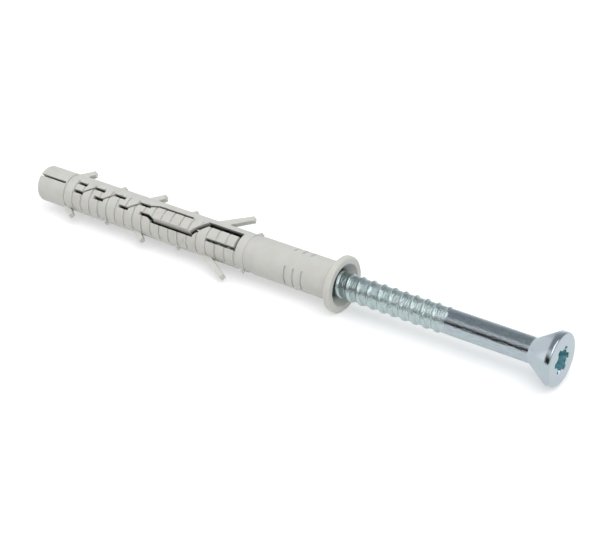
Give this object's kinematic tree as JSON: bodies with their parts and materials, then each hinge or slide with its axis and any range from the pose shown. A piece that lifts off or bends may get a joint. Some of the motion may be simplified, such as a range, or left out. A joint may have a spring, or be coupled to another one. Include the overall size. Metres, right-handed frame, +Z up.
{
  "type": "frame fixing",
  "caption": "Long nylon expansion plug with a collar and its part-driven countersunk screw, for fastening a frame or batten through its own thickness to a wall.",
  "frame": {"origin": "under the middle of the part's box, on the surface that it lies on", "axes": "+X along the fixing's axis, from the plug's tip to the screw's head; +Z up from the surface that it lies on"},
  "size_m": [0.1596, 0.0158, 0.0146],
  "materials": {
    "plug_nylon": "satin grey moulded nylon",
    "zinc_plated_steel": "bright zinc plate, bluish"
  },
  "bodies": {
    "plug": {"expansion_plug": "plug_nylon"},
    "screw": {"screw": "zinc_plated_steel"}
  },
  "joints": [
    {"name": "screw_drive", "type": "slide", "parent": "plug", "child": "screw", "axis": [-1, 0, 0], "range_m": [-0.035, 0.0558]}
  ]
}
